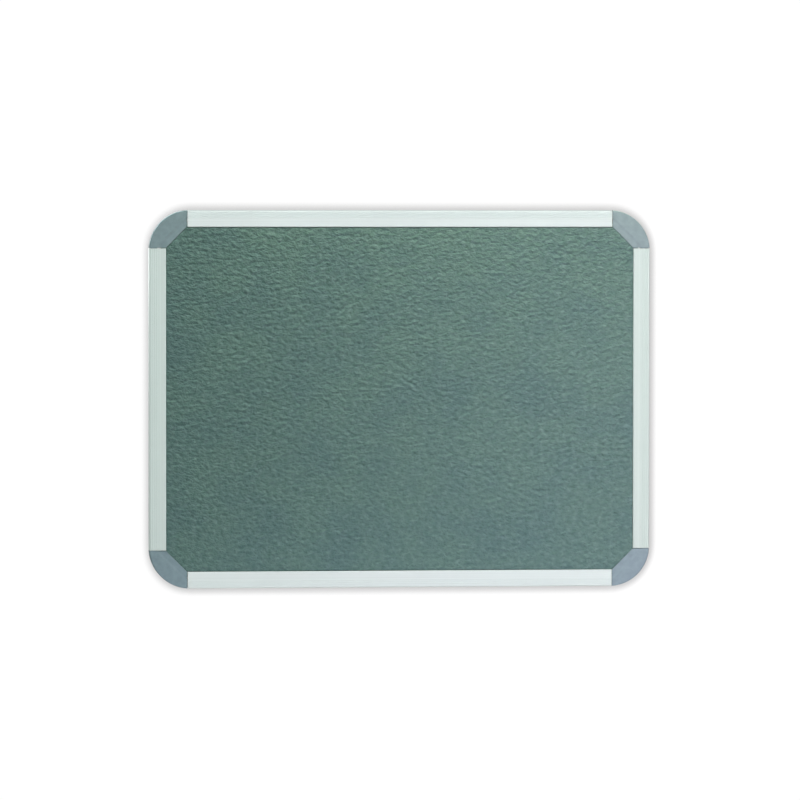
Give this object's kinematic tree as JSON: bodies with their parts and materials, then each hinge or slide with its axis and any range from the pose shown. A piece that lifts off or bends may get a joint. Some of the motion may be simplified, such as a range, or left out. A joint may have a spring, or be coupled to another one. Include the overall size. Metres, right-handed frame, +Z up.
{
  "type": "wall notice board",
  "caption": "Wall-hung felt notice board in a slim anodised aluminium frame, with moulded grey corner caps whose pull-off covers hide the wall screws.",
  "frame": {"origin": "centre of the board's back, on the wall plane", "axes": "+X to the board's right as seen from the front, +Y into the wall, +Z up; the front faces -Y"},
  "size_m": [0.6, 0.02, 0.45],
  "materials": {
    "felt": "needle-punched, matt, grey-green",
    "softboard": "raw pressed wood fibre, soft and porous",
    "hardboard": "smooth one side, screen-marked back",
    "anodised_aluminium": "satin natural anodised, extruded",
    "grey_plastic": "fine-grained moulded, grey-blue",
    "zinc_plated_steel": "bright zinc plated"
  },
  "bodies": {
    "board": {"backing_board": "hardboard", "softboard_core": "softboard", "felt_facing": "felt", "rail_bottom": "anodised_aluminium", "rail_right": "anodised_aluminium", "rail_top": "anodised_aluminium", "rail_left": "anodised_aluminium", "corner_base_bottom_left": "grey_plastic", "corner_base_bottom_right": "grey_plastic", "corner_base_top_right": "grey_plastic", "corner_base_top_left": "grey_plastic", "rail_screw_bottom_left": "zinc_plated_steel", "rail_screw_bottom_right": "zinc_plated_steel", "rail_screw_right_bottom": "zinc_plated_steel", "rail_screw_right_top": "zinc_plated_steel", "rail_screw_top_right": "zinc_plated_steel", "rail_screw_top_left": "zinc_plated_steel", "rail_screw_left_top": "zinc_plated_steel", "rail_screw_left_bottom": "zinc_plated_steel"},
    "cover_bottom_left": {"corner_cover_bottom_left": "grey_plastic"},
    "cover_bottom_right": {"corner_cover_bottom_right": "grey_plastic"},
    "cover_top_right": {"corner_cover_top_right": "grey_plastic"},
    "cover_top_left": {"corner_cover_top_left": "grey_plastic"}
  },
  "joints": [
    {"name": "cover_slide_bottom_left", "type": "slide", "parent": "board", "child": "cover_bottom_left", "axis": [0, -1, 0], "range_m": [0, 0.007]},
    {"name": "cover_slide_bottom_right", "type": "slide", "parent": "board", "child": "cover_bottom_right", "axis": [0, -1, 0], "range_m": [0, 0.007]},
    {"name": "cover_slide_top_right", "type": "slide", "parent": "board", "child": "cover_top_right", "axis": [0, -1, 0], "range_m": [0, 0.007]},
    {"name": "cover_slide_top_left", "type": "slide", "parent": "board", "child": "cover_top_left", "axis": [0, -1, 0], "range_m": [0, 0.007]}
  ]
}
